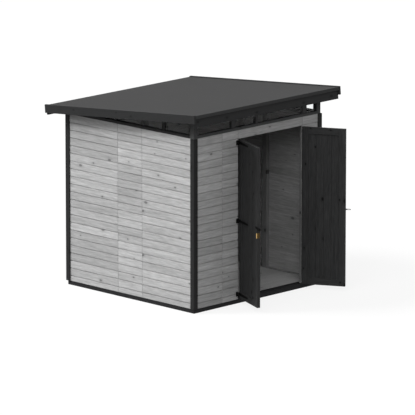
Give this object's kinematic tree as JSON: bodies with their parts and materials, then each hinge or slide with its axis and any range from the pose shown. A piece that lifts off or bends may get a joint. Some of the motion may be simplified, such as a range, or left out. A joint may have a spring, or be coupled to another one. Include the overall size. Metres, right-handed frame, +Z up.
{
  "type": "wooden garden shed",
  "caption": "Square wooden garden shed of board-clad panels on a low base, with a mono-pitch roof over a glazed clerestory band and a pair of hinged framed doors with a hasp and padlock.",
  "frame": {"origin": "middle of the plan on the ground, under the middle joist", "axes": "+Z up, -Y towards the doors in the front wall, +X to the right of someone facing the doors"},
  "size_m": [2.43, 2.9069, 2.3795],
  "materials": {
    "cladding": "grey stained boards",
    "frame_wood": "grey stained studs and plates",
    "floor_wood": "grey floor boards",
    "dark_wood": "anthracite stained wood",
    "black_wood": "black impregnated wood",
    "roofing": "grey roofing sheet",
    "glazing": "clear sheet",
    "black_iron": "black lacquered iron",
    "brass": "polished brass",
    "steel": "zinc plated steel"
  },
  "bodies": {
    "shed": {"base_frame": "black_wood", "floor": "floor_wood", "bottom_plates": "frame_wood", "top_plates": "frame_wood", "wall_studs": "frame_wood", "left_wall_front": "cladding", "left_wall_middle": "cladding", "left_wall_back": "cladding", "right_wall_front": "cladding", "right_wall_middle": "cladding", "right_wall_back": "cladding", "back_wall_left": "cladding", "back_wall_middle": "cladding", "back_wall_right": "cladding", "front_wall_panel": "cladding", "front_wall_left_pier": "cladding", "front_wall_right_pier": "cladding", "front_wall_header": "cladding", "door_posts": "frame_wood", "door_head": "frame_wood", "threshold": "black_wood", "front_left_trim": "dark_wood", "front_right_trim": "dark_wood", "back_left_trim": "dark_wood", "back_right_trim": "dark_wood", "wall_caps": "dark_wood", "clerestory_posts": "dark_wood", "front_beam": "dark_wood", "front_panes": "glazing", "left_panes": "glazing", "right_panes": "glazing", "rafters": "dark_wood", "roof_deck": "dark_wood", "roof_sheet": "roofing", "left_barge": "dark_wood", "right_barge": "dark_wood", "front_strip": "dark_wood", "front_fascia": "dark_wood", "back_fascia": "dark_wood", "left_hinge_hooks": "black_iron", "right_hinge_hooks": "black_iron"},
    "left_door": {"left_door_frame": "dark_wood", "left_door_boards": "dark_wood", "left_door_straps": "black_iron", "hasp_plate": "black_iron"},
    "right_door": {"right_door_frame": "dark_wood", "right_door_boards": "dark_wood", "right_door_straps": "black_iron", "staple": "black_iron", "lap_strap": "black_iron"},
    "hasp": {"hasp_strap": "black_iron", "padlock_body": "brass", "padlock_shackle": "black_iron"}
  },
  "joints": [
    {"name": "left_door_hinge", "type": "hinge", "parent": "shed", "child": "left_door", "pos_m": [-0.3255, -1.0575, 0], "axis": [0, 0, -1], "range_deg": [-112.5, 57.5]},
    {"name": "right_door_hinge", "type": "hinge", "parent": "shed", "child": "right_door", "pos_m": [0.7415, -1.0575, 0], "axis": [0, 0, 1], "range_deg": [-119, 51]},
    {"name": "hasp_hinge", "type": "hinge", "parent": "left_door", "child": "hasp", "pos_m": [-0.52418, -1.54238, 1.009], "axis": [0, 0, -1], "range_deg": [0, 145]}
  ]
}
